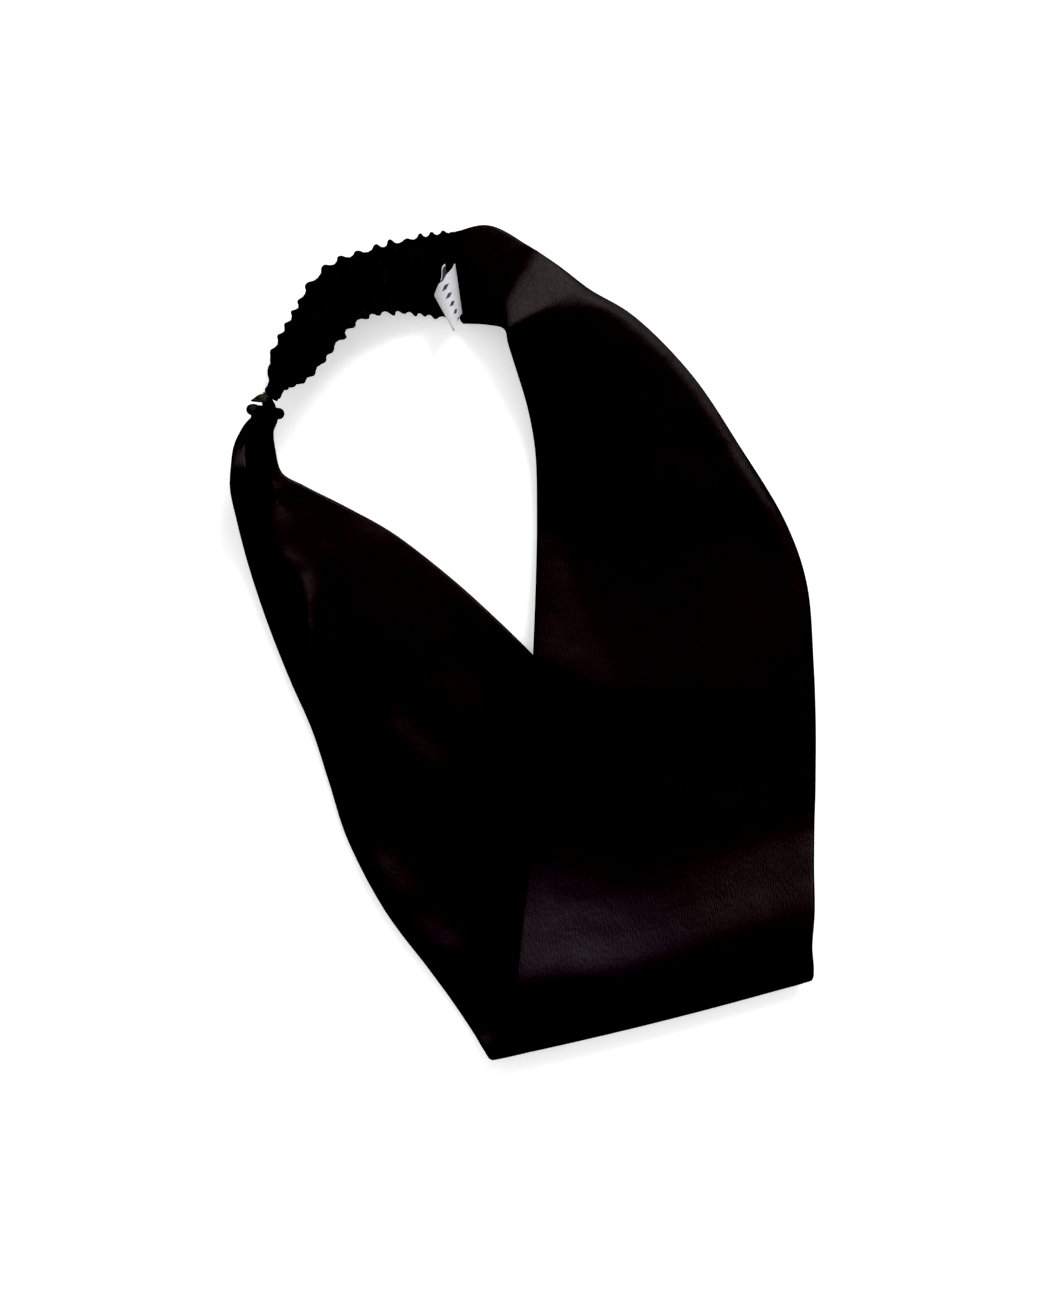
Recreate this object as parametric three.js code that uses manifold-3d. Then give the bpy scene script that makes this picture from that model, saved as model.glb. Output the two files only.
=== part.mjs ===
// A wide satin headband with a ruched elastic back, lying loose on a table.
// Millimetres. +X runs across the band, +Y towards the elastic, +Z up from the table.
// The origin is on the table, under the middle of the whole band.
// The band is one closed loop. Its front edge is the inner edge of the right arm and, past the turn, the
// outer edge of the left arm. Its back edge is the other one.
import * as THREE from "three";
import { mergeVertices } from "three/addons/utils/BufferGeometryUtils.js";
import Module from "manifold-3d";

const wasm = await Module();
wasm.setup();

// The middle of the whole band's outline, in the coordinates of the rows below
const OUTLINE_MIDDLE = { x: -0.4, y: 1.25 };

// Fabric
const WALL = 1.9; // two layers of satin with the air between them
const EDGE_ROUND = 1.6; // how far the unpressed edge is rounded
const PUFF_CENTRE = 4; // the edge roll is thickest this far inside the edge
const PUFF_REACH = 4.5;
const LAYER_GAP = 0.6; // air between the right arm and the left arm under it

// Turn at the bottom, where the band folds over on itself
const TURN_FRONT = new THREE.Vector2(-8, -115.8);
const TURN_BACK = new THREE.Vector2(79.6, -93.4);
const TURN_BACK_SHARE = 0.78; // its height at the back edge, as a share of the front
const TURN_TIP_INSET = 1;
const TURN_BOW = 0.9; // how far the middle of the fold stands out
const TURN_PUFF = 0.3;

// The left arm's back edge, hidden under the right arm, and how softly the right arm comes down past it
const HIDDEN_EDGE_TOP = new THREE.Vector2(2.2, -2.6);
const HIDDEN_EDGE_FOOT = new THREE.Vector2(79, -92.4);
const LAP_START = 1; // how far past that edge the slope starts, and how far past it it ends
const LAP_END = 15;
const LAP_FADE_ROWS = 2; // the rows of the turn over which the lap gives way to the turn's own height

// Elastic back
const GATHERS = 18;
const CASING_HALF_THICKNESS = 2.3;
const FRILL = 1.5; // how far a gather stands out at the edges
const GATHER_SWELL = 0.5; // how far it stands out on the faces
const GATHER_OFFSET = 0.3; // the gathers of the high edge lie this share of a gather further along
const GATHER_ROUNDNESS = 0.7; // under 1, the ridges are rounder than the valleys between them
const CASING_SIDES = 14;
const CASING_FLATNESS = 0.7;
const STEPS_PER_GATHER = 4;

// Seams. Each is a roll of cloth from one end of the joined edges to the other, as [x, y, z].
const LABEL_SEAM = { start: [-19.95, 116.5, 2.7], end: [-16.75, 90.4, 2.7] };
const LABEL_SEAM_HALF_WIDTH = 1.3;
const LABEL_SEAM_HALF_HEIGHT = 2.5;
const PINCH_SEAM = { start: [-75.7, 63.3, 19.4], end: [-68.3, 64.7, 2.4] };
const PINCH_RADIUS = 1.5;
const PINCH_LOBE = 0.3; // how much thicker the roll is towards its two ends
const PINCH_CORE = { centre: [-71, 65.7, 10.5], halves: [1.7, 1.5, 7.4], turn: 0 };
const PINCH_FLAP = { centre: [-73.4, 66.4, 15.4], halves: [2.6, 0.85, 2.6], turn: 0.16 };

// Label, a folded loop of ribbon. Its two tails stand on the label seam, and its fold leans over the
// elastic, low at the outer end and high at the inner end.
const LABEL_WALL = 0.9;
const LABEL_FOLD_RADIUS = 0.8;
const LABEL_FOLD_SHARE = 0.1; // how much of the ribbon's length goes round the fold
const LABEL_EYE = 1; // how much further apart the two layers stand between the seam and the fold
const LABEL_EYE_START = 0.25; // where on its half wave the eye starts, so that the tails stand apart
const LABEL_HEM = 0.025; // how much of the ribbon's length its cut ends taper over
const LABEL_STEPS_ALONG = 5;
const LABEL_STEPS_DEEP = 10;
const LABEL_STEPS_ROUND = 6;
// The outer end of the fold, then the inner end, as [x, y, z]
const LABEL = [
  { tail: [-21.4, 106.4, 6.2], bend: [-21.5, 103, 10.6], fold: [-24.8, 96.7, 9] },
  { tail: [-18.9, 92.6, 6.2], bend: [-18.3, 90.6, 11.6], fold: [-19.5, 86.1, 15] },
];

// Mesh
const NUDGE = 1e-3; // the small step that slopes are measured over
const SECTION_STEP = 5.4;
const ROLL_STEPS = 14;
const ROLL_SIDES = 12;
const ROLL_END = 0.35; // how much of its thickness a roll keeps at its very ends
const ROLL_SQUARENESS = 12; // the higher, the later a roll tapers towards its ends
const ACROSS = [0, 0.01, 0.03, 0.07, 0.13, 0.22, 0.33, 0.44, 0.56, 0.67, 0.78, 0.87, 0.93, 0.97, 0.99, 1];

// Each row is one section of the band: where its front and back edges lie, as [x, y, z], how far the middle
// bows up (crown) and towards the front edge (belly), and how much its edges are puffed.
const RIGHT_ARM = [
  { front: [-15, 90.3, 3.2], back: [-18.1, 116.6, 2.9], crown: 0, belly: 0, puff: 0.2 },
  { front: [-10.4, 89, 5.4], back: [-9.6, 118.4, 2.4], crown: 0.6, belly: 0, puff: 0.4 },
  { front: [-5.5, 87, 9.2], back: [0.3, 114.4, 2.0], crown: 1.2, belly: 0, puff: 0.6 },
  { front: [-4.8, 83, 9.6], back: [13.4, 103.4, 1.8], crown: 1.4, belly: 0, puff: 0.7 },
  { front: [-2.5, 75.5, 8.4], back: [30.5, 92.6, 1.8], crown: 1.6, belly: 0, puff: 0.8 },
  { front: [0.6, 65.6, 6.8], back: [46.8, 75.8, 1.8], crown: 1.6, belly: 0, puff: 0.8 },
  { front: [2.7, 54, 5.6], back: [61, 55.4, 1.8], crown: 1, belly: 0, puff: 0.8 },
  { front: [3.3, 35, 4.8], back: [73.7, 32.8, 1.8], crown: 0, belly: 0, puff: 0.8 },
  { front: [3.3, 18, 4.2], back: [78.7, 17, 1.7], crown: -0.8, belly: 0, puff: 0.7 },
  { front: [2.5, -3, 3.8], back: [80, -5, 1.6], crown: -0.8, belly: 0, puff: 0.6 },
  { front: [1.4, -27, 3.6], back: [80.7, -22, 1.6], crown: 0, belly: 0, puff: 0.6 },
];

// Rows of the turn, from the upper layer round to the lower one. The inset is measured from the fold's
// outline, and each slide along the fold from that edge's corner.
const TURN = [
  { inset: 53, height: 3.9, frontSlide: 22.4, backSlide: 14.6 },
  { inset: 41, height: 6.4, frontSlide: 18, backSlide: 11.2 },
  { inset: 30, height: 10.4, frontSlide: 14, backSlide: 8 },
  { inset: 19, height: 13.5, frontSlide: 9.7, backSlide: 5 },
  { inset: 9.5, height: 12.9, frontSlide: 5.2, backSlide: 1.8 },
  { inset: 3.4, height: 10.2, frontSlide: 1.4, backSlide: 1 },
  { inset: 1, height: 6.8, frontSlide: -1.2, backSlide: 0.2 },
  { inset: 3, height: 3.2, frontSlide: -2.4, backSlide: -1.2 },
  { inset: 8, height: 1.2, frontSlide: -4, backSlide: -3.4 },
];

const LEFT_ARM = [
  { front: [-19.8, -99.6, 0.9], back: [68, -78.6, 0.9], crown: 0, belly: 0, puff: 0.2 },
  { front: [-26.1, -90.8, 0.9], back: [57.5, -65.6, 0.9], crown: 0, belly: 0, puff: 0.2 },
  { front: [-39, -74.6, 0.9], back: [41.2, -46.4, 0.9], crown: 0, belly: 0, puff: 0.3 },
  { front: [-49.3, -54.3, 1], back: [22, -24.6, 0.9], crown: 0, belly: 0, puff: 0.3 },
  { front: [-54.3, -39, 1.2], back: [3.4, -4, 0.9], crown: 0, belly: 0, puff: 0.4 },
  { front: [-59.2, -24.2, 1.6], back: [-9.8, 9, 1.1], crown: 0.3, belly: 0, puff: 0.6 },
  { front: [-65.4, -10.2, 1.8], back: [-21.3, 19.3, 1.2], crown: 0.6, belly: 0, puff: 0.6 },
  { front: [-71.6, 5.4, 2.6], back: [-36.8, 31.2, 1.4], crown: 0.8, belly: 0, puff: 0.6 },
  { front: [-76.6, 20.4, 5.2], back: [-50.2, 38.7, 1.8], crown: 0, belly: 0.5, puff: 0.6 },
  { front: [-79.8, 33.4, 9], back: [-61.9, 44.6, 2.6], crown: -1.6, belly: 1, puff: 0.6 },
  { front: [-80.9, 43.6, 13], back: [-67.8, 48, 2.8], crown: -3, belly: 1.4, puff: 0.5 },
  { front: [-80, 52.6, 16.4], back: [-69.8, 54.6, 1.8], crown: -3.4, belly: 1.6, puff: 0.4 },
  { front: [-77.5, 58.4, 18.4], back: [-70.4, 59.8, 1.6], crown: -2.6, belly: 1, puff: 0.3 },
  { front: [-75.4, 61.1, 19], back: [-69.7, 62.3, 1.9], crown: -1.2, belly: 0.5, puff: 0.2 },
];

// Soft ridges in the cloth, each along a straight line between two places [x, y], with its height and how
// far it spreads sideways.
const RIDGES = [
  { layer: "left", from: [-77, 40], to: [-67, 4], height: 2.6, spread: 6 },
  { layer: "left", from: [-67, 4], to: [-56, -20], height: 1.6, spread: 8 },
  { layer: "left", from: [-40, -20], to: [-20, -44], height: 1.4, spread: 7 },
  { layer: "left", from: [-46, -50], to: [-26, -86], height: 1.3, spread: 6 },
  { layer: "right", from: [10, 80], to: [52, 48], height: 1.2, spread: 9 },
  { layer: "right", from: [6, 34], to: [12, -4], height: 0.9, spread: 8 },
];

// Rows of the elastic casing, from the standing end at the left to the flat end at the label seam, as
// [x, y, z]. The low edge rests on the table, and the high edge leans inwards over it.
const CASING = [
  { low: [-69.9, 68.2, 3.8], high: [-71.3, 67.9, 17.2] },
  { low: [-71.2, 73, 2.8], high: [-66, 69.6, 20.2] },
  { low: [-71.4, 79.6, 2.6], high: [-61, 71.2, 20] },
  { low: [-68.2, 87.6, 2.6], high: [-54.6, 78.4, 18] },
  { low: [-64.2, 94.8, 2.8], high: [-50.2, 84.8, 16.4] },
  { low: [-60.8, 101.4, 2.8], high: [-45.8, 89.4, 13.6] },
  { low: [-53.6, 108.2, 2.8], high: [-41.6, 91.4, 11.4] },
  { low: [-44.9, 111.4, 2.8], high: [-36.9, 92.4, 9] },
  { low: [-35.3, 113.6, 2.8], high: [-30.6, 92.4, 6] },
  { low: [-27.4, 115, 2.8], high: [-24.2, 91.8, 3.6] },
  { low: [-21.6, 115.8, 2.8], high: [-18.4, 91.4, 2.9] },
];

const smooth = (low, high, value) => THREE.MathUtils.smoothstep(value, low, high);
const at = (place) => new THREE.Vector3(...place);
const flat = (place) => new THREE.Vector3(...place, 0);

// The smooth curve through one column of places in a table's rows
function through(rows, column) {
  const places = rows.map((row) => at(row[column]));
  return new THREE.CatmullRomCurve3(places, false, "centripetal");
}

// A closed mesh through a list of equal loops of points. Each loop runs out along one face from its first
// point and comes back along the other face, so each end is closed by a ladder of triangles between them.
function loft(loops) {
  const count = loops[0].length;
  const index = [];
  for (let row = 0; row + 1 < loops.length; row += 1) {
    for (let k = 0; k < count; k += 1) {
      const a = row * count + k;
      const b = row * count + ((k + 1) % count);
      index.push(a, b + count, b, a, a + count, b + count);
    }
  }
  const last = (loops.length - 1) * count;
  for (let k = 0; k < count / 2; k += 1) {
    const [near, nearNext] = [k, k + 1];
    const [far, farNext] = [(count - k) % count, count - k - 1];
    const ladder = [];
    if (k > 0) ladder.push([near, nearNext, far]);
    if (nearNext !== farNext) ladder.push([nearNext, farNext, far]);
    ladder.forEach(([a, b, c]) => index.push(a, b, c, last + a, last + c, last + b));
  }
  const geometry = new THREE.BufferGeometry();
  const places = loops.flat().flatMap((point) => point.toArray());
  geometry.setAttribute("position", new THREE.Float32BufferAttribute(places, 3));
  geometry.setIndex(index);
  geometry.computeVertexNormals();
  return geometry;
}

// Loops for a cloth wall round a middle surface. The wall has no thickness at share 0 and share 1.
function wallLoops(stations, shares, middleAt, halfThicknessAt) {
  const before = (value) => Math.max(value - NUDGE, 0);
  const after = (value) => Math.min(value + NUDGE, 1);
  return stations.map((station) => {
    const skins = shares.map((share) => {
      const middle = middleAt(station, share);
      const alongStep = middleAt(after(station), share).sub(middleAt(before(station), share));
      const acrossStep = middleAt(station, after(share)).sub(middleAt(station, before(share)));
      const normal = alongStep.cross(acrossStep).normalize();
      const toSkin = normal.multiplyScalar(halfThicknessAt(station, share));
      return { over: middle.clone().add(toSkin), under: middle.clone().sub(toSkin) };
    });
    const back = skins.slice(1, -1).reverse();
    const loop = [...skins.map(({ over }) => over), ...back.map(({ under }) => under)];
    loop.forEach((point) => point.setZ(Math.max(point.z, 0)));
    return loop;
  });
}

// Height of the right arm where it laps over the left arm, falling to the table past the hidden edge.
function lapHeight(x, y) {
  const along = HIDDEN_EDGE_FOOT.clone().sub(HIDDEN_EDGE_TOP).normalize();
  const offset = new THREE.Vector2(x, y).sub(HIDDEN_EDGE_TOP);
  const beyond = along.x * offset.y - along.y * offset.x;
  const over = WALL + LAYER_GAP + WALL / 2;
  return THREE.MathUtils.lerp(over, WALL / 2, smooth(LAP_START, LAP_END, beyond));
}

function ridgeHeight(layer, x, y) {
  const point = flat([x, y]);
  return RIDGES.filter((ridge) => ridge.layer === layer).reduce((height, ridge) => {
    const line = new THREE.Line3(flat(ridge.from), flat(ridge.to));
    const nearest = line.closestPointToPoint(point, true, new THREE.Vector3());
    const away = nearest.distanceTo(point) / ridge.spread;
    return height + ridge.height * Math.exp(-away * away);
  }, 0);
}

// The turn's rows as sections of the band.
function turnSections() {
  const along = TURN_BACK.clone().sub(TURN_FRONT).normalize();
  const inward = new THREE.Vector2(-along.y, along.x);
  return TURN.map(({ inset, height, frontSlide, backSlide }) => {
    const front = TURN_FRONT.clone().addScaledVector(inward, inset).addScaledVector(along, frontSlide);
    const back = TURN_BACK.clone().addScaledVector(inward, inset).addScaledVector(along, backSlide);
    const backHeight = THREE.MathUtils.lerp(WALL / 2, height, TURN_BACK_SHARE);
    return {
      front: [front.x, front.y, height],
      back: [back.x, back.y, backHeight],
      crown: 0,
      belly: 0,
      puff: TURN_PUFF,
    };
  });
}

// The band's middle surface and wall. Station runs from 0 at the label seam to 1 at the pinch seam, and
// share from 0 at the front edge to 1 at the back edge.
function satinBand() {
  const rows = [...RIGHT_ARM, ...turnSections(), ...LEFT_ARM];
  const spans = rows.length - 1;
  const frontEdge = through(rows, "front");
  const backEdge = through(rows, "back");
  const shapes = rows.map((row) => ({ shape: [row.crown, row.belly, row.puff] }));
  const shape = through(shapes, "shape");
  const turnStart = RIGHT_ARM.length / spans;
  const turnTip = (RIGHT_ARM.length + TURN.findIndex((row) => row.inset === TURN_TIP_INSET)) / spans;
  const turnEnd = (RIGHT_ARM.length + TURN.length) / spans;
  const fold = TURN_BACK.clone().sub(TURN_FRONT).normalize();
  const outward = new THREE.Vector3(fold.y, -fold.x, 0);

  const middleAt = (station, share) => {
    const front = frontEdge.getPoint(station);
    const back = backEdge.getPoint(station);
    const { x: crown, y: belly } = shape.getPoint(station);
    const bow = 4 * share * (1 - share);
    const towardsFront = front.clone().sub(back).setZ(0).normalize();
    const point = front.clone().lerp(back, share);
    point.addScaledVector(towardsFront, belly * bow);
    point.z += crown * bow;
    const nearTip = smooth(turnStart, turnTip, station) * (1 - smooth(turnTip, turnEnd, station));
    point.addScaledVector(outward, TURN_BOW * bow * nearTip);
    if (station < turnTip) {
      const open = 1 - smooth(turnStart, turnStart + LAP_FADE_ROWS / spans, station);
      point.z = Math.max(point.z, THREE.MathUtils.lerp(point.z, lapHeight(point.x, point.y), open));
      point.z += open * ridgeHeight("right", point.x, point.y);
    } else {
      point.z += smooth(turnTip, turnEnd, station) * ridgeHeight("left", point.x, point.y);
    }
    return point;
  };

  const halfThicknessAt = (station, share) => {
    const width = frontEdge.getPoint(station).distanceTo(backEdge.getPoint(station));
    const fromEdge = Math.min(share, 1 - share) * width;
    const rounding = Math.sqrt(1 - Math.max(0, 1 - fromEdge / EDGE_ROUND) ** 2);
    const roll = shape.getPoint(station).z * Math.exp(-(((fromEdge - PUFF_CENTRE) / PUFF_REACH) ** 2));
    return (WALL / 2 + roll) * rounding;
  };

  const stations = [];
  for (let span = 0; span < spans; span += 1) {
    const [start, end] = [span / spans, (span + 1) / spans];
    const reach = Math.max(
      frontEdge.getPoint(start).distanceTo(frontEdge.getPoint(end)),
      backEdge.getPoint(start).distanceTo(backEdge.getPoint(end)),
    );
    const steps = Math.max(2, Math.round(reach / SECTION_STEP));
    for (let k = 0; k < steps; k += 1) stations.push(THREE.MathUtils.lerp(start, end, k / steps));
  }
  stations.push(1);
  return loft(wallLoops(stations, ACROSS, middleAt, halfThicknessAt));
}

// Height of one gather along the casing, from 0 in a valley to 1 on a ridge.
function gather(along, shift) {
  return Math.abs(Math.sin(Math.PI * (GATHERS * along + shift))) ** GATHER_ROUNDNESS;
}

function elasticBack() {
  const lowEdge = through(CASING, "low");
  const highEdge = through(CASING, "high");
  const steps = GATHERS * STEPS_PER_GATHER;
  const loops = [];
  for (let step = 0; step <= steps; step += 1) {
    const along = step / steps;
    const low = lowEdge.getPoint(along);
    const high = highEdge.getPoint(along);
    const centre = low.clone().lerp(high, 0.5);
    const ahead = lowEdge.getTangent(along).add(highEdge.getTangent(along)).normalize();
    const width = high.clone().sub(low).normalize();
    const face = width.clone().cross(ahead).normalize();
    const halfWidth = low.distanceTo(high) / 2;
    const loop = [];
    for (let k = 0; k < CASING_SIDES; k += 1) {
      const angle = (k / CASING_SIDES) * 2 * Math.PI;
      const [across, up] = [Math.cos(angle), Math.sin(angle)];
      const ridge = gather(along, across > 0 ? GATHER_OFFSET : 0) - 0.5;
      const reach = halfWidth + FRILL * ridge;
      const depth = CASING_HALF_THICKNESS + GATHER_SWELL * ridge;
      const point = centre.clone().addScaledVector(width, reach * across);
      point.addScaledVector(face, depth * Math.sign(up) * Math.abs(up) ** CASING_FLATNESS);
      loop.push(point.setZ(Math.max(point.z, 0)));
    }
    loops.push(loop);
  }
  return loft(loops);
}

// A roll of cloth between two points, with rounded ends. The half height is upwards, across the roll.
function clothRoll(line, halfWidth, halfHeight, lobe) {
  const [start, end] = [at(line.start), at(line.end)];
  const ahead = end.clone().sub(start).normalize();
  const side = new THREE.Vector3().crossVectors(ahead, new THREE.Vector3(0, 0, 1)).normalize();
  const up = new THREE.Vector3().crossVectors(side, ahead);
  const loops = [];
  for (let step = 0; step <= ROLL_STEPS; step += 1) {
    const along = (1 - Math.cos((Math.PI * step) / ROLL_STEPS)) / 2;
    const ends = Math.abs(2 * along - 1);
    const swell = 1 + lobe * ends ** 4;
    const tip = Math.sqrt(Math.max(1 - ends ** ROLL_SQUARENESS, ROLL_END ** 2));
    const centre = start.clone().lerp(end, along);
    const loop = [];
    for (let k = 0; k < ROLL_SIDES; k += 1) {
      const angle = (k / ROLL_SIDES) * 2 * Math.PI;
      const point = centre.clone().addScaledVector(side, halfWidth * swell * tip * Math.cos(angle));
      loop.push(point.addScaledVector(up, halfHeight * swell * tip * Math.sin(angle)));
    }
    loops.push(loop);
  }
  return loft(loops);
}

const labelSeam = () => clothRoll(LABEL_SEAM, LABEL_SEAM_HALF_WIDTH, LABEL_SEAM_HALF_HEIGHT, 0);

function solidOf(geometry) {
  const bare = new THREE.BufferGeometry().setAttribute("position", geometry.getAttribute("position"));
  const merged = mergeVertices(bare.setIndex(geometry.index));
  const vertProperties = merged.getAttribute("position").array;
  const triVerts = new Uint32Array(merged.index.array);
  return new wasm.Manifold(new wasm.Mesh({ numProp: 3, vertProperties, triVerts }));
}

function geometryOf(solid) {
  const { vertProperties, triVerts } = solid.getMesh();
  const geometry = new THREE.BufferGeometry();
  geometry.setAttribute("position", new THREE.BufferAttribute(new Float32Array(vertProperties), 3));
  geometry.setIndex(new THREE.BufferAttribute(new Uint32Array(triVerts), 1));
  geometry.computeVertexNormals();
  return geometry;
}

function ellipsoid({ centre, halves, turn }) {
  const geometry = new THREE.SphereGeometry(1, ROLL_SIDES, ROLL_SIDES);
  return geometry.scale(...halves).rotateZ(turn).translate(...centre);
}

// The knot-like roll of gathered cloth, the core that joins it to the elastic, and the flap of its seam
// allowance that stands out beside it.
function pinchSeam() {
  const roll = solidOf(clothRoll(PINCH_SEAM, PINCH_RADIUS, PINCH_RADIUS, PINCH_LOBE));
  return geometryOf(roll.add(solidOf(ellipsoid(PINCH_CORE))).add(solidOf(ellipsoid(PINCH_FLAP))));
}

// The label's middle surface: station runs along the seam from the outer end to the inner end, and share
// from one tail, round the fold, to the other tail.
function label() {
  const [outer, inner] = LABEL.map(({ tail, bend, fold }) => [at(tail), at(bend), at(fold)]);
  const ribbonAt = (station) => {
    const [tail, bend, fold] = outer.map((place, k) => place.clone().lerp(inner[k], station));
    return new THREE.QuadraticBezierCurve3(tail, bend, fold);
  };
  const middleAt = (station, share) => {
    const side = share < 0.5 ? 1 : -1;
    const walked = Math.min(share, 1 - share) * 2;
    const straight = Math.min(walked / (1 - LABEL_FOLD_SHARE), 1);
    const round = Math.max((walked - 1) / LABEL_FOLD_SHARE + 1, 0) * (Math.PI / 2);
    const ribbon = ribbonAt(station);
    const foldDepth = LABEL_FOLD_RADIUS / ribbon.getLength();
    const depth = straight * (1 - foldDepth) + foldDepth * Math.sin(round);
    const eye = LABEL_EYE * Math.sin(Math.PI * THREE.MathUtils.lerp(LABEL_EYE_START, 1, straight));
    const apart = (LABEL_FOLD_RADIUS + eye) * Math.cos(round);
    const deeper = ribbon.getTangent(Math.min(depth, 1));
    const wider = ribbonAt(1).getPoint(depth).sub(ribbonAt(0).getPoint(depth));
    return ribbon.getPoint(depth).addScaledVector(deeper.cross(wider).normalize(), side * apart);
  };
  const halfThicknessAt = (station, share) => {
    const fromEnd = Math.min(share, 1 - share);
    return (LABEL_WALL / 2) * Math.sqrt(Math.min(fromEnd / LABEL_HEM, 1));
  };
  const layer = Array.from({ length: LABEL_STEPS_DEEP + 1 }, (_, k) => k / LABEL_STEPS_DEEP);
  const round = Array.from({ length: LABEL_STEPS_ROUND - 1 }, (_, k) => (k + 1) / LABEL_STEPS_ROUND - 0.5);
  const layerShare = (1 - LABEL_FOLD_SHARE) / 2;
  const shares = [
    ...layer.map((part) => part * layerShare),
    ...round.map((part) => 0.5 + part * LABEL_FOLD_SHARE),
    ...layer.map((part) => 1 - part * layerShare).reverse(),
  ];
  const stations = Array.from({ length: LABEL_STEPS_ALONG + 1 }, (_, k) => k / LABEL_STEPS_ALONG);
  return loft(wallLoops(stations, shares, middleAt, halfThicknessAt));
}

const satin = new THREE.MeshStandardMaterial({ color: 0x0b080b, roughness: 0.42, metalness: 0 });
const casing = new THREE.MeshStandardMaterial({ color: 0x0a090b, roughness: 0.7, metalness: 0 });
const seam = new THREE.MeshStandardMaterial({ color: 0x14100e, roughness: 0.65, metalness: 0 });
const ribbon = new THREE.MeshStandardMaterial({ color: 0xdcdbe2, roughness: 0.6, metalness: 0 });

const headband = new THREE.Group();
headband.position.set(-OUTLINE_MIDDLE.x, -OUTLINE_MIDDLE.y, 0);
function addPiece(name, geometry, material) {
  const mesh = new THREE.Mesh(geometry, material);
  mesh.name = name;
  headband.add(mesh);
}
addPiece("satin_band", satinBand(), satin);
addPiece("elastic_back", elasticBack(), casing);
addPiece("label_seam", labelSeam(), seam);
addPiece("pinch_seam", pinchSeam(), seam);
addPiece("label", label(), ribbon);

export default headband;
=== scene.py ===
"""The looks of a wide black satin headband with a ruched elastic back, lying loose on a pale floor."""

import math
from collections import namedtuple

import bpy
import numpy as np
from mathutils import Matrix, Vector


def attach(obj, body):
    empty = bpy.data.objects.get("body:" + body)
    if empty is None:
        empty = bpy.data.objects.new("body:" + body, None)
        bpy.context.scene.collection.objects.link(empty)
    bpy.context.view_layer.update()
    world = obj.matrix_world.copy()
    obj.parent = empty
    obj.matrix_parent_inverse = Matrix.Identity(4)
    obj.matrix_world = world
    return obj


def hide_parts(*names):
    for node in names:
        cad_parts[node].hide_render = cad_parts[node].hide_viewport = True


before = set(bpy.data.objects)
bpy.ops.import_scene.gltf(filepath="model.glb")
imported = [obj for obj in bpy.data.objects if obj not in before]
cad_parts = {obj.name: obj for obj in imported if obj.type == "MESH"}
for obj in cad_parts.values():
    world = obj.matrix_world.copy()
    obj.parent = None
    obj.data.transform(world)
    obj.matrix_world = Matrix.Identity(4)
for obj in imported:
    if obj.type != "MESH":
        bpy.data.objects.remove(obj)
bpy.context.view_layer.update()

# Tables and sizes are in millimetres, and meshes are made in metres.
MM = 0.001

# The middle of the whole band's outline, in the coordinates of the rows below
OUTLINE_MIDDLE = np.array([-0.4, 1.25, 0.0])

# View: nearly straight down, from a little in front of the turn
VIEW_TARGET = (-0.72, -2.93, 0.0)
VIEW_DISTANCE = 900.0
VIEW_ELEVATION = math.radians(85)
VIEW_WIDTH = 291.2  # what the picture's width covers at the target
SENSOR_WIDTH = 36.0

# Light: a high soft window from the upper right, and an even fill from above
SUN_FROM_POLAR = math.radians(50)
SUN_FROM_AZIMUTH = math.radians(64)
SUN_SPREAD = math.radians(26)
SUN_STRENGTH = 2.4
FILL_STRENGTH = 0.8
HORIZON_SOFTNESS = 0.05  # how far above and below the horizon the fill fades out
FLOOR_GLOW = 0.35  # the floor's own light, which keeps it pale
BLACK_LEVEL = (0.0097, 0.0099, 0.0099)  # the colour that the picture shows as full black

# Fabric
WALL = 1.9  # two layers of satin with the air between them
EDGE_ROUND = 0.65  # how far in from the unpressed edge the wall is rounded
EDGE_PLACES = (0, 0.15, 0.4, 0.8, 1.3)  # how far in from an edge the mesh has its first columns
PUFF_CENTRE = 4.0  # the edge roll is thickest this far inside the edge
PUFF_REACH = 4.5
LAYER_GAP = 0.6  # air between the right arm and the left arm under it

# Turn at the bottom, where the band folds over on itself
TURN_FRONT = np.array([-8.0, -115.3])
TURN_BACK = np.array([79.6, -93.7])
TURN_TIP_ROW = 6  # the row that lies furthest out
TURN_BOW = 0.9  # how far the middle of the fold stands out
TURN_PUFF = 0.1
WAVE_AT = 0.36  # where a row's wave stands out most, as a share from front to back
WAVE_REACH = 0.24

# The left arm's back edge, hidden under the right arm, and how softly the right arm comes down past it
HIDDEN_EDGE_TOP = np.array([2.2, -2.6])
HIDDEN_EDGE_FOOT = np.array([79.0, -92.4])
LAP_START = 1.0
LAP_END = 32.0
LAP_FADE_ROWS = 2

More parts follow.
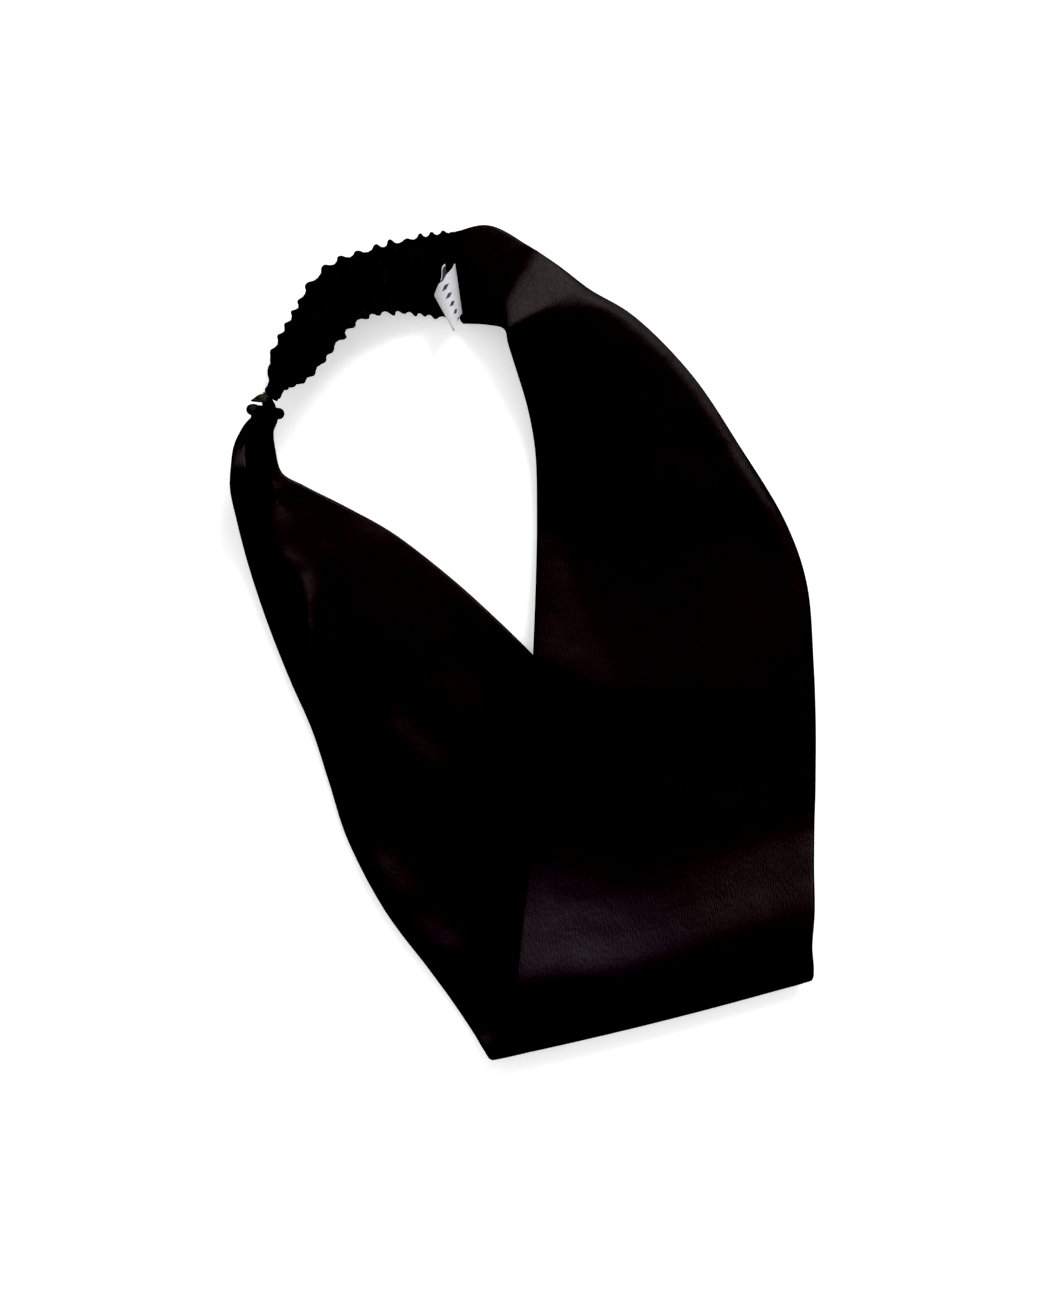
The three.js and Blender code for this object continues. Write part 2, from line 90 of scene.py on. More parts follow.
# One section of the band: where its front and back edges lie, how far the middle bows up (crown) and
# towards the front edge (belly), how much its edges are puffed, and which share of the fall from front to
# back is made in one step. On the left arm the step lies at step_at, as a share from front to back, and
# reaches step_reach to both sides. On the right arm the step is the rim along the back edge, so those two
# stay unused, and a step over 1 means that the cloth rises towards the rim.
Section = namedtuple("Section", "front back crown belly puff step step_at step_reach", defaults=(0, 0.5, 6))
RIGHT_ARM = [
    Section((-16.3, 90.3, 2.9), (-19.4, 116.7, 2.7), 0, 0, 0.1),
    Section((-10.4, 89, 8), (-9.6, 118.4, 3.6), 1, 0, 0.1),
    Section((-5.5, 87, 11.6), (7.2, 108.1, 5), 1.5, 0, 0.1, 0.3),
    Section((-4.4, 83, 11.2), (18.4, 99.6, 4.6), 0, 0, 0.1, 0.23),
    Section((-2, 75.5, 9.4), (30.5, 92.6, 3), -0.2, 0, 0.1, 0.19),
    Section((1, 65.6, 6.8), (46.8, 76.2, 2), -0.4, 0, 0.1, 0.23),
    Section((3.1, 54, 4.4), (60.6, 55.2, 1.8), 0, 0, 0.2, 0.48),
    Section((3.6, 35, 2.4), (73.7, 32.8, 1.8), 1.2, 0, 0.3, 1.7),
    Section((3.3, 18, 2.6), (79, 17, 1.7), 0.8, 0, 0.3, 1),
    Section((2.5, -3, 3.8), (80.7, -5, 1.6), 0, 0, 0.3, 0.8),
    Section((1.4, -27, 3.6), (81.2, -22, 1.6), 0, 0, 0.3, 0.8),
]

# Rows of the turn, from the upper layer round to the lower one. The inset is measured from the fold's
# outline, and each slide along the fold from that edge's corner. Between the edges a row waves outwards and
# sags.
TurnRow = namedtuple(
    "TurnRow", "inset front_height back_height front_slide back_slide wave sag", defaults=(0, 0)
)
TURN = [
    TurnRow(53, 3.9, 3.1, 22.4, 14.6, 2, 0),
    TurnRow(41, 6.6, 3.9, 18, 11.2, 3, 0.6),
    TurnRow(30, 10.3, 6.7, 14, 8, 4, 1.1),
    TurnRow(18, 14, 9.9, 9.5, 4.8, 4, 1.2),
    TurnRow(9, 13.4, 10.3, 5.2, 1.8, 2, 1),
    TurnRow(3.4, 10.2, 8.2, 1.4, 1, 0.5, 0.4),
    TurnRow(1, 6.8, 5.5, -1.2, 0.2),
    TurnRow(3, 3.2, 2.7, -2.4, -1.2),
    TurnRow(8, 1.2, 1.1, -4, -3.4),
]

LEFT_ARM = [
    Section((-19.8, -99.6, 0.9), (68, -78.6, 0.9), 0, 0, 0.2),
    Section((-26.2, -90.9, 0.9), (57.5, -65.6, 0.9), 0, 0, 0.2),
    Section((-38.6, -74.5, 0.9), (41.2, -46.4, 0.9), 0, 0, 0.3),
    Section((-49.3, -54.3, 1), (22, -24.6, 0.9), 0, 0, 0.3),
    Section((-54.3, -39, 1.2), (3.4, -4, 0.9), 0, 0, 0.2),
    Section((-59.2, -24.2, 1.6), (-9.8, 9, 1.0), 0.3, 0, 0.2),
    Section((-65.4, -10.2, 1.8), (-21.3, 19.3, 1.0), 0.6, 0, 0.2),
    Section((-71.6, 5.4, 2.6), (-36.8, 31.2, 1.1), 0.8, 0, 0.1),
    Section((-76.6, 20.4, 4.6), (-50.2, 38.7, 1.4), 0, 0.5, 0.1, 0, 0.4, 7),
    Section((-79.8, 33.4, 9.6), (-61.9, 44.6, 2.2), -0.6, 1, 0.1, 0.55, 0.4, 6),
    Section((-80.9, 43.6, 20.3), (-67.8, 48, 2.6), 0, 1.4, 0.1, 0.94, 0.6, 4),
    Section((-79.7, 52.6, 19.2), (-69.8, 54.6, 2), 0, 1.6, 0.1, 0.8, 0.56, 3),
    Section((-77, 58.4, 18), (-70.4, 59.8, 2), 0, 1, 0.1, 0.78, 0.55, 2.2),
    Section((-75.1, 61.1, 17.4), (-69.7, 62.3, 2.2), 0, 0.5, 0.1, 0.76, 0.55, 1.8),
    Section((-75.3, 62.9, 17), (-69.2, 64.1, 2.4), 0, 0, 0, 0.76, 0.55, 1.8),
]

# Soft ridges in the cloth, each as how far it spreads sideways and a line of places with its height there
Ridge = namedtuple("Ridge", "spread line")
RidgePlace = namedtuple("RidgePlace", "x y height")
LEFT_RIDGES = [
    Ridge(
        3.4,
        [
            RidgePlace(-79, 37.5, 2),
            RidgePlace(-75.5, 31.5, 2.2),
            RidgePlace(-69.5, 24, 1.2),
            RidgePlace(-62.5, 19.6, 0.5),
            RidgePlace(-60.6, 12, 1.8),
            RidgePlace(-60, 4, 2.9),
            RidgePlace(-59.5, -4, 3.2),
            RidgePlace(-59, -16, 0.2),
        ],
    ),
    Ridge(6.5, [RidgePlace(-36, -27, 1.3), RidgePlace(-28, -35, 1.5)]),
    Ridge(6.5, [RidgePlace(-22, -16, 1.0), RidgePlace(-17, -20, 1.0)]),
    Ridge(6.5, [RidgePlace(-40, -66, 1.3), RidgePlace(-36, -71, 1.4)]),
    Ridge(6.5, [RidgePlace(-30, -82, 1.3), RidgePlace(-22, -87, 1.3)]),
]

# Facets of the right arm, each a plane through a place that falls towards a direction, as degrees from +X,
# at a slope in degrees
Facet = namedtuple("Facet", "x y z towards slope")
SHOULDER = Facet(-5.9, 90, 11.5, 63, 17)
SHOULDER_LEFT = Facet(-7, 92.4, 11, 118.5, 30)
SHOULDER_LOW = 2.7  # neither of the two planes of the shoulder goes lower than this
SHOULDER_FADE_START = 5  # the row of the right arm where the planes begin to fade away
SHOULDER_FADE_END = 6.5
CROSSING_RISE = Facet(1.4, -5.6, 8.4, 48, 10.5)
CROSSING_PLATEAU = Facet(25.8, -13.2, 6.2, 105, 4.5)
CROSSING_TOP = Facet(1.4, -5.6, 8.4, 267, 12)
RISE_FADE = 34  # how far from the back edge the raised crossing begins to fade away
RIM_SLOPE = math.radians(31)  # how steeply the right arm comes down to its back edge
RIM_CREASE = 1.1  # how softly the cloth goes over into its rim, as a difference of height
FACET_CREASE = 0.5  # how softly two facets meet

# Soft unevenness: how strong it is, the size of its bumps, the seed that they are drawn with, and how many
# times closer they lie along and across a piece
Bumps = namedtuple("Bumps", "strength size seed along across", defaults=(1, 1))
SATIN_SWELL = Bumps(0.16, 42, 4)
SATIN_RIPPLE = Bumps(0.025, 8, 9)
CASING_SWELL = Bumps(0.25, 16, 8)
CASING_CRUMPLE = Bumps(0.14, 2.6, 6, 1.8, 0.7)
PLEAT_WANDER = Bumps(0.22, 9, 5, 1, 1.3)
ROLL_WANDER = Bumps(0.3, 7, 3)
BUMP_WAVES = 12  # how many waves make up an unevenness
BUMP_LEVEL = 4  # what their sum is divided by
BUMP_SIZES = (0.7, 1.5)  # the least and the greatest length of a wave, as shares of a bump's size

# Small gathers in the satin next to its two seams: how many, how deep, and how far they reach
Gather = namedtuple("Gather", "count depth reach")
LABEL_GATHERS = Gather(7, 0.07, 4)
PINCH_GATHERS = Gather(4, 0.35, 9)
GATHER_WARP = 0.06  # how unevenly they are spaced, as a share of the width
GATHER_WARP_RATE = 9

# Rows of the elastic casing, from the standing end at the left to the flat end at the label seam. The low
# edge rests on the floor, and the high edge leans inwards over it.
CasingRow = namedtuple("CasingRow", "low high")
CASING = [
    CasingRow((-69.9, 68.2, 3.8), (-71.3, 67.9, 17.2)),
    CasingRow((-71.2, 73, 2.8), (-66, 69.6, 20.2)),
    CasingRow((-71.4, 79.6, 2.6), (-61, 71.2, 20)),
    CasingRow((-68.2, 87.6, 2.6), (-54.6, 78.4, 18)),
    CasingRow((-64.2, 94.8, 2.8), (-50.2, 84.8, 16.4)),
    CasingRow((-60.8, 101.4, 2.8), (-45.8, 89.4, 13.6)),
    CasingRow((-53.6, 108.2, 2.8), (-41.6, 91.4, 11.4)),
    CasingRow((-44.9, 111.4, 2.8), (-36.9, 92.4, 9)),
    CasingRow((-35.3, 114.4, 2.8), (-30.6, 92.4, 6)),
    CasingRow((-27.4, 116.3, 2.8), (-24.2, 91.8, 3.6)),
    CasingRow((-20.4, 117.5, 2.8), (-17.2, 91.4, 2.9)),
]
CASING_HALF_THICKNESS = 2.1
CASING_FLATNESS = 0.62  # under 1, its faces are flatter than an ellipse
CASING_STEPS = 380
CASING_SIDES = 72
CASING_REVERSE = 40.0  # how far its under side lies from its upper side on the flat cloth
PLEAT_DEPTH = 1.3
PLEAT_ROUNDNESS = 0.75  # under 1, the pleats are rounder than the valleys between them
PLEAT_LEVEL = 0.75  # the share of a pleat's height at which the casing is as thick as without pleats
PLEAT_HOLD = 0.8  # from this share of the half width outwards, a pleat keeps to the nubs of its edge
PLEAT_STRAIGHT = 4  # the higher, the nearer to the edges the pleats still wander
EDGE_DRAWN = 6  # the higher, the narrower the border that is drawn in
EDGE_PLEAT_DEPTH = 0.25  # how far the pleats move the edges in and out, round half of their height
EDGE_PLEAT_LEVEL = 0.5
LOW_DRAWN_IN = 1.0  # how far the edges are drawn in between the pleats
HIGH_DRAWN_IN = 0.5
NUB_SQUARENESS = 3.2  # at 2 a nub is a round bump, and higher it is squarer
NUB_SPREAD = 0.22  # how wide the tip of a pleat is where it stands out of an edge, as a share of the pleat
NUB_BORDER = 14  # the higher, the narrower the border that the nubs stand out of

# Where the pleats of the casing stand out of its edges: how far along the edge, and how far they stand out
Nub = namedtuple("Nub", "along height")
LOW_NUBS = [
    Nub(2.5, 0.6),
    Nub(8, 0.9),
    Nub(14.3, 1.7),
    Nub(19.2, 1.7),
    Nub(22.9, 1.2),
    Nub(27, 1.5),
    Nub(30.4, 1.2),
    Nub(35.5, 1.5),
    Nub(42.7, 1.6),
    Nub(47.8, 1.4),
    Nub(52.8, 1.2),
    Nub(58.6, 1.4),
    Nub(62.6, 1.6),
    Nub(67.4, 0.5),
    Nub(71.5, 1.1),
    Nub(74.7, 0.9),
    Nub(78, 0.7),
]
HIGH_NUBS = [
    Nub(2.5, 0.5),
    Nub(5.6, 0.8),
    Nub(8.4, 1.2),
    Nub(11.4, 1),
    Nub(14.9, 1.3),
    Nub(20.2, 1),
    Nub(23.6, 0.8),
    Nub(29, 2),
    Nub(33.6, 1.2),
    Nub(39, 1.1),
    Nub(42.8, 0.9),
    Nub(47.3, 1.3),
    Nub(50.8, 0.5),
    Nub(54.2, 0.9),
    Nub(57, 0.5),
    Nub(60, 0.8),
    Nub(64.6, 0.5),
]

# Seams, each a roll of pleated cloth between two places
Roll = namedtuple("Roll", "start end half_width half_height lobe pleats pleat_depth")
LABEL_SEAM = Roll((-19.95, 116.5, 2.7), (-16.75, 90.4, 2.7), 1.3, 2.4, 0, 11, 0.12)
PINCH_SEAM = Roll((-75.7, 63.3, 19.4), (-68.3, 64.7, 2.4), 1.45, 1.45, 0.34, 6, 0.12)
PINCH_CORE = Roll((-71.2, 65.8, 17), (-70.8, 65.6, 4), 1.7, 1.4, 0, 3, 0.1)
ROLL_SQUARENESS = 12  # the higher, the later a roll tapers towards its ends
ROLL_END = 0.3  # the size of its blunt ends, as a share of its full size
ROLL_LOBES = 4  # the higher, the closer to its ends a roll swells into a lobe
ROLL_PLEAT_LEVEL = 0.6  # the share of a pleat's height at which a roll is as thick as without pleats
ROLL_STEPS = 90
ROLL_SIDES = 48

# Thread stitches next to the label seam
STITCH_FROM_SEAM = 1.9
STITCH_LENGTH = 2.1
STITCH_GAP = 0.5
STITCH_END = 0.9  # how far the row stays away from the satin's edges
STITCH_RISE = 0.22  # how much higher a stitch's middle lies than its ends
STITCH_RADIUS = 0.18
STITCH_SQUARENESS = 4
STITCH_TIP = 0.97  # where a stitch stops tapering, as a share of its half length
STITCH_POINTS = 11
STITCH_SIDES = 8

# The flap of the pinch seam's allowance, as rows across it: its root on the elastic, and its free lip
FlapRow = namedtuple("FlapRow", "root lip")
PINCH_FLAP = [
    FlapRow((-70.9, 68.4, 16.6), (-71.8, 68.2, 17)),
    FlapRow((-71, 66.6, 17.4), (-74, 67.2, 17.6)),
    FlapRow((-71.2, 65.6, 17.6), (-75.6, 66, 17.4)),
]
FLAP_HALF_THICKNESS = 0.4
FLAP_RIPPLE = 0.35
FLAP_RIPPLE_RATE = 2.6
FLAP_RIPPLE_LEAN = 2
FLAP_STEPS = 25
FLAP_COLUMNS = 21

# Label: a folded loop of ribbon on the label seam, as its outer end and its inner end. Each is a curve from
# its tail in the seam, round its bend, to the fold.
LabelRow = namedtuple("LabelRow", "tail bend fold")
LABEL = [
    LabelRow((-20.4, 107.5, 3.7), (-21.7, 103.3, 10.8), (-24.8, 96.9, 9)),
    LabelRow((-18, 93, 3.1), (-19.3, 91, 12.2), (-19.5, 86.1, 15)),
]
LABEL_HALF_THICKNESS = 0.17
LABEL_FOLD_RADIUS = 0.5
LABEL_FOLD_SHARE = 0.1  # how much of the ribbon's length goes round the fold
LABEL_EYE = 1.1  # how much further apart the two layers stand between the seam and the fold
LABEL_EYE_START = 0.14  # how far along its arch the eye already is at the seam
LABEL_EYE_LOSS = 0.6  # which share of the eye is gone at the inner end
LABEL_SKEW = 0.16  # how far the back layer reaches out past the front one, as a share of the width
LABEL_WIDTH = 14.5
LABEL_TIP = 0.012  # the share of the ribbon's length over which its two cut ends are rounded
LABEL_REVERSE = 100  # how far the ribbon's reverse lies from its front on the flat cloth
LABEL_STEPS = 41
LABEL_LAYER_POINTS = 28
LABEL_FOLD_POINTS = 13
LABEL_SAMPLES = 20  # how many places measure the length of a layer
LABEL_NEAR = 1e-3  # the half step over which the direction along the ribbon is taken

# The label's lozenges and the border free of painted shade on its reverse, in millimetres on the flat
# ribbon
LOZENGE_AT = 8.2  # how far along the ribbon the row lies
LOZENGE_STEP = 2.9
LOZENGE_SHAPE = 0.5  # how wide a lozenge is for its height, which runs along the ribbon
LOZENGE_SIZE = 0.72  # half its width
UNSHADED_BORDER = 0.5
PRINT_SOFTNESS = 0.1
LOZENGE_COLOUR = (0.02, 0.018, 0.05)
# Painted shade: the colour of the ribbon's reverse, which stands for the shade inside the loop
REVERSE_PAINTED_SHADE_COLOUR = (0.03, 0.029, 0.034)

# Satin: its threads to a metre, its black, and a cool tint that is a painted reflection: the purple of the
# turn's highlight, strongest round the place given here in metres, and spread further by a slow random
# drift
SATIN_THREADS = 3600
SATIN_GRAIN = 0.18  # the width of the grain as a share of its length
SATIN_WARM = (0.0026, 0.0016, 0.0017)
SATIN_REFLECTION_TINT = (0.0026, 0.0014, 0.0030)
REFLECTION_TINT_PLACE = (0.005, -0.106, 0)
REFLECTION_TINT_RADIUS = 0.056
DRIFT_SHARE = 0.7  # how much a slow drift counts beside that place
TINT_START = 0.42
TINT_END = 0.72
WEAR_RELIEF = 2.5  # how much deeper the slow bumps of the satin are than its grain
WOVEN_RELIEF = 0.5  # how deep the crossing threads of a plain cloth are beside its fibres

# Floor: flat rings, then a curve up into a wall, in metres
FLOOR_RINGS = (0.4, 1.2, 2.5, 5.0)
FLOOR_BEND = 1.5
FLOOR_WALL = 1.0
FLOOR_BELOW = 0.0001  # how far it lies below the band
FLOOR_BEND_STEPS = 8
FLOOR_SIDES = 48

# Steps of the satin's mesh
ALONG_STEP = 1.5
ACROSS_STEP = 1.5

SAME_PLACE = 1e-4  # two places of a curve that lie no further apart count as one

# Where a Mix node keeps its factor, its two colours and its result
MIX_FACTOR, MIX_FIRST, MIX_SECOND, MIX_RESULT = 0, 6, 7, 2


def smooth(low, high, value):
    t = np.clip((value - low) / (high - low), 0, 1)
    return t * t * (3 - 2 * t)


def blend(low, high, share):
    return low + (high - low) * share


def unit(vectors):
    return vectors / np.maximum(np.linalg.norm(vectors, axis=-1, keepdims=True), 1e-9)


def curve_through(places):
    """The smooth curve through places, as a function of a share from 0 to 1: a centripetal Catmull-Rom."""
    places = np.array(places, float)
    knots = np.vstack([2 * places[0] - places[1], places, 2 * places[-1] - places[-2]])
    steps = np.sqrt(np.linalg.norm(np.diff(knots, axis=0), axis=1))

    def at(share):
        where = np.clip(np.asarray(share, float), 0, 1) * (len(places) - 1)
        k = np.minimum(where.astype(int), len(places) - 2)
        t = (where - k)[..., None]
        a, b, c, d = (knots[k + offset] for offset in range(4))
        before, here, after = (steps[k + offset][..., None] for offset in range(3))
        here = np.where(here < SAME_PLACE, 1.0, here)
        before = np.where(before < SAME_PLACE, here, before)
        after = np.where(after < SAME_PLACE, here, after)
        leave = ((b - a) / before - (c - a) / (before + here) + (c - b) / here) * here
        arrive = ((c - b) / here - (d - b) / (here + after) + (d - c) / after) * here
        square = 3 * (c - b) - 2 * leave - arrive
        cube = 2 * (b - c) + leave + arrive
        return b + t * leave + t**2 * square + t**3 * cube

    return at


def grid_normals(grid):
    """Unit normals of a grid of points, in the direction of the rows' cross product with the columns."""
    along = np.gradient(grid, axis=0)
    across = np.gradient(grid, axis=1)
    return unit(np.cross(along, across))


def unevenness(bumps, along, across, shift=0):
    """A soft unevenness at places of a cloth, as the sum of waves in many directions. shift moves the
    places along the cloth, so that its other side gets bumps of its own."""
    waves = np.random.default_rng(bumps.seed)
    angles = waves.uniform(0, 2 * math.pi, BUMP_WAVES)
    sizes = waves.uniform(*BUMP_SIZES, BUMP_WAVES) * bumps.size
    phases = waves.uniform(0, 2 * math.pi, BUMP_WAVES)
    x, y = along * bumps.along + shift, across * bumps.across
    total = 0
    for angle, size, phase in zip(angles, sizes, phases):
        run = x * math.cos(angle) + y * math.sin(angle)
        total = total + np.sin(run * 2 * math.pi / size + phase)
    return bumps.strength * (total / BUMP_LEVEL)


def loft(name, parts, material):
    """A piece of one or more closed meshes, each through rings of points in millimetres. A ring runs out
    along one face and comes back along the other, so each end is closed by a ladder of faces between them.
    A part is its rings and each point's place on the flat cloth, in millimetres, kept as the mesh's UV."""
    points, places, faces = [], [], []
    first = 0
    for rings, cloth in parts:
        rows, count = rings.shape[:2]
        for row in range(rows - 1):
            base = first + row * count
            for k in range(count):
                beside = (k + 1) % count
                faces.append((base + k, base + beside, base + count + beside, base + count + k))
        last = first + (rows - 1) * count
        for k in range((count + 1) // 2):
            ladder = [k, k + 1, count - k - 1, (count - k) % count]
            ladder = list(dict.fromkeys(ladder))
            if len(ladder) > 2:
                faces.append(tuple(first + corner for corner in reversed(ladder)))
                faces.append(tuple(last + corner for corner in ladder))
        points.append(rings.reshape(-1, 3))
        places.append(cloth.reshape(-1, 2))
        first += rows * count
    mesh = bpy.data.meshes.new(name)
    mesh.from_pydata(((np.concatenate(points) - OUTLINE_MIDDLE) * MM).tolist(), [], faces)
    layer = mesh.uv_layers.new(name="cloth")
    corners = np.empty(len(mesh.loops), np.int32)
    mesh.loops.foreach_get("vertex_index", corners)
    layer.data.foreach_set("uv", (np.concatenate(places)[corners] * MM).astype(np.float32).ravel())
    mesh.polygons.foreach_set("use_smooth", np.ones(len(mesh.polygons), bool))
    mesh.materials.append(material)
    mesh.validate()
    piece = bpy.data.objects.new(name, mesh)
    bpy.context.scene.collection.objects.link(piece)
    return piece


def wall_rings(middle, half):
    """Rings for a cloth wall round a grid of middle points. half is zero along the grid's two edges."""
    normals = grid_normals(middle) * half[..., None]
    over, under = middle + normals, middle - normals
    rings = np.concatenate([over, under[:, -2:0:-1]], axis=1)
    rings[..., 2] = np.maximum(rings[..., 2], 0)
    return rings


def there_and_back(grid):
    """Values on a grid, repeated for the points of its two faces as wall_rings orders them."""
    return np.concatenate([grid, grid[:, -2:0:-1]], axis=1)


def lap_height(x, y):
    """The right arm's height where it laps over the left arm, falling to the floor past the hidden edge."""
    along = unit(HIDDEN_EDGE_FOOT - HIDDEN_EDGE_TOP)
    beyond = along[0] * (y - HIDDEN_EDGE_TOP[1]) - along[1] * (x - HIDDEN_EDGE_TOP[0])
    return blend(WALL + LAYER_GAP + WALL / 2, WALL / 2, smooth(LAP_START, LAP_END, beyond))


def facet_height(facet, x, y):
    """How high a facet's plane is over each place."""
    towards = math.radians(facet.towards)
    fallen = (x - facet.x) * math.cos(towards) + (y - facet.y) * math.sin(towards)
    return facet.z - fallen * math.tan(math.radians(facet.slope))


def lower_of(a, b, softness):
    """The lower of two heights, rounded where they cross."""
    return (a + b - np.sqrt((a - b) ** 2 + softness**2)) / 2


def higher_of(a, b, softness):
    return -lower_of(-a, -b, softness)


def ridge_height(ridges, x, y):
    """How much the ridges raise each place, by its nearest point on each ridge's line."""
    total = 0
    for ridge in ridges:
        least, height = np.inf + 0 * x, 0 * x
        for start, end in zip(ridge.line, ridge.line[1:]):
            run_x, run_y = end.x - start.x, end.y - start.y
            share = ((x - start.x) * run_x + (y - start.y) * run_y) / (run_x**2 + run_y**2)
            share = np.clip(share, 0, 1)
            away = np.hypot(x - start.x - share * run_x, y - start.y - share * run_y)
            height = np.where(away < least, blend(start.height, end.height, share), height)
            least = np.minimum(away, least)
        total = total + height * np.exp(-((least / ridge.spread) ** 2))
    return total


def walked(points):
    """How far each point of a line lies from its start, along the line."""
    return np.concatenate([[0], np.cumsum(np.linalg.norm(np.diff(points, axis=0), axis=1))])


def turn_sections():
    """The turn's rows as sections of the band. They have no step: its place and its reach are only what
    those of the arms blend into."""
    along = unit(TURN_BACK - TURN_FRONT)
    inward = np.array([-along[1], along[0]])
    sections = []
    for row in TURN:
        front = TURN_FRONT + inward * row.inset + along * row.front_slide
        back = TURN_BACK + inward * row.inset + along * row.back_slide
        sections.append(
            Section(
                (*front, row.front_height),
                (*back, row.back_height),
                crown=-row.sag,
                belly=0,
                puff=TURN_PUFF,
                step=0,
                step_at=1,
                step_reach=9,
            )
        )
    return sections


def satin_spacing(front_edge, back_edge, spans):
    """Where the satin's mesh has its rows and its columns, as shares of the way along and across."""
    stations = []
    for span in range(spans):
        ends = np.array([span, span + 1]) / spans
        reach = max(np.linalg.norm(np.diff(edge(ends), axis=0)) for edge in (front_edge, back_edge))
        stations.extend(np.linspace(*ends, max(3, round(reach / ALONG_STEP)), endpoint=False))
    stations = np.array([*stations, 1.0])
    widest = np.linalg.norm(front_edge(stations) - back_edge(stations), axis=1).max()
    columns = round(widest / ACROSS_STEP)
    even = (np.arange(columns + 1) / columns)[1:-1]
    border = np.array(EDGE_PLACES) / widest
    return stations, np.unique(np.round(np.concatenate([border, even, 1 - border]), 6))


def with_facets(height, x, y, crossing_share, shoulder_share):
    """The right arm's height with the rise over the left arm and with the shoulder's two planes, each as
    far as its share goes."""
    rise, plateau, top, shoulder, shoulder_left = (
        facet_height(facet, x, y)
        for facet in (CROSSING_RISE, CROSSING_PLATEAU, CROSSING_TOP, SHOULDER, SHOULDER_LEFT)
    )
    crossing = lower_of(higher_of(rise, plateau, FACET_CREASE), top, FACET_CREASE)
    height = blend(height, higher_of(height, crossing, FACET_CREASE), crossing_share)
    planes = lower_of(shoulder, shoulder_left, FACET_CREASE)
    planes = higher_of(planes, SHOULDER_LOW + 0 * x, FACET_CREASE)
    return blend(height, lower_of(height, planes, FACET_CREASE), shoulder_share)


def satin_half_wall(v, widths, length, puff):
    """Half the wall's thickness: rounded off at the edges, thicker in the rolls along them, and gathered
    next to the two seams."""
    from_edge = np.minimum(v * widths, (1 - v) * widths)
    rounding = np.sqrt(1 - np.maximum(0, 1 - from_edge / EDGE_ROUND) ** 2)
    roll = puff * np.exp(-(((from_edge - PUFF_CENTRE) / PUFF_REACH) ** 2))
    gathers = 0
    for gather, away in ((LABEL_GATHERS, length), (PINCH_GATHERS, length[-1] - length)):
        waves = np.cos(2 * math.pi * gather.count * (v + GATHER_WARP * np.sin(GATHER_WARP_RATE * v)))
        gathers = gathers + gather.depth * waves * np.exp(-away / gather.reach)[:, None]
    return (WALL / 2 + roll + gathers) * rounding


def satin_grid():
    """The band's middle surface as a grid of points, half its wall's thickness at each point, and each
    point's place on the flat cloth."""
    rows = RIGHT_ARM + turn_sections() + LEFT_ARM
    spans = len(rows) - 1
    front_edge = curve_through([row.front for row in rows])
    back_edge = curve_through([row.back for row in rows])
    shape = curve_through([(row.crown, row.belly, row.puff) for row in rows])
    steps = curve_through([(row.step, row.step_at, row.step_reach) for row in rows])
    turn_start = len(RIGHT_ARM) / spans
    turn_tip = (len(RIGHT_ARM) + TURN_TIP_ROW) / spans
    turn_end = (len(RIGHT_ARM) + len(TURN)) / spans

    stations, shares = satin_spacing(front_edge, back_edge, spans)
    s, v = np.meshgrid(stations, shares, indexing="ij")
    front, back = front_edge(stations), back_edge(stations)
    widths = np.linalg.norm(front - back, axis=1)[:, None]
    from_back = (1 - v) * widths
    crown, belly, puff = np.moveaxis(shape(stations), 1, 0)[..., None]
    bow = 4 * v * (1 - v)

    # The plain strip between its edges, with its steps and its rim
    middle = front[:, None] + (back - front)[:, None] * v[..., None]
    step, step_at, step_reach = np.moveaxis(steps(stations), 1, 0)[..., None]
    reach = step_reach / widths
    fallen = smooth(step_at - reach, step_at + reach, v)
    fallen = (fallen - fallen[:, :1]) / (fallen[:, -1:] - fallen[:, :1])
    drop = (back[:, 2] - front[:, 2])[:, None] * step
    open_arm = 1 - smooth(turn_start, turn_start + LAP_FADE_ROWS / spans, s)
    rim = back[:, 2][:, None] + math.tan(RIM_SLOPE) * from_back
    rimmed = lower_of(middle[..., 2] - drop * v, rim, RIM_CREASE)
    middle[..., 2] = blend(middle[..., 2] + drop * (fallen - v), rimmed, open_arm)
    towards_front = unit((front - back) * (1, 1, 0))
    middle += towards_front[:, None] * (belly * bow)[..., None]
    middle[..., 2] += crown * bow

    # The turn, which bows and waves outwards
    fold = unit(TURN_BACK - TURN_FRONT)
    outward = np.array([fold[1], -fold[0], 0])
    near_tip = smooth(turn_start, turn_tip, s) * (1 - smooth(turn_tip, turn_end, s))
    turn_rows = turn_start + np.arange(len(TURN)) / spans
    wave = np.interp(s, turn_rows, [row.wave for row in TURN], 0, 0)
    wave = wave * np.exp(-(((v - WAVE_AT) / WAVE_REACH) ** 2))
    middle += outward * (TURN_BOW * bow * near_tip + wave)[..., None]

    # The relief of both arms
    x, y, z = np.moveaxis(middle, 2, 0)
    lapped = np.maximum(z, blend(z, lap_height(x, y), open_arm))
    crossing_share = open_arm * smooth(0, RISE_FADE, from_back)
    shoulder_share = 1 - smooth(SHOULDER_FADE_START / spans, SHOULDER_FADE_END / spans, s)
    upper = with_facets(lapped, x, y, crossing_share, shoulder_share)
    lower = z + smooth(turn_tip, turn_end, s) * ridge_height(LEFT_RIDGES, x, y)
    ripple = unevenness(SATIN_SWELL, x, y) + unevenness(SATIN_RIPPLE, x, y)
    middle[..., 2] = np.where(s < turn_tip, upper, lower) + ripple

    length = walked((front + back) / 2)
    half = satin_half_wall(v, widths, length, puff)
    cloth = np.stack([np.repeat(length[:, None], len(shares), 1), v * widths], axis=2)
    return middle, half, cloth


def satin_cloth(material):
    middle, half, cloth = satin_grid()
    return loft("satin_cloth", [(wall_rings(middle, half), there_and_back(cloth))], material)


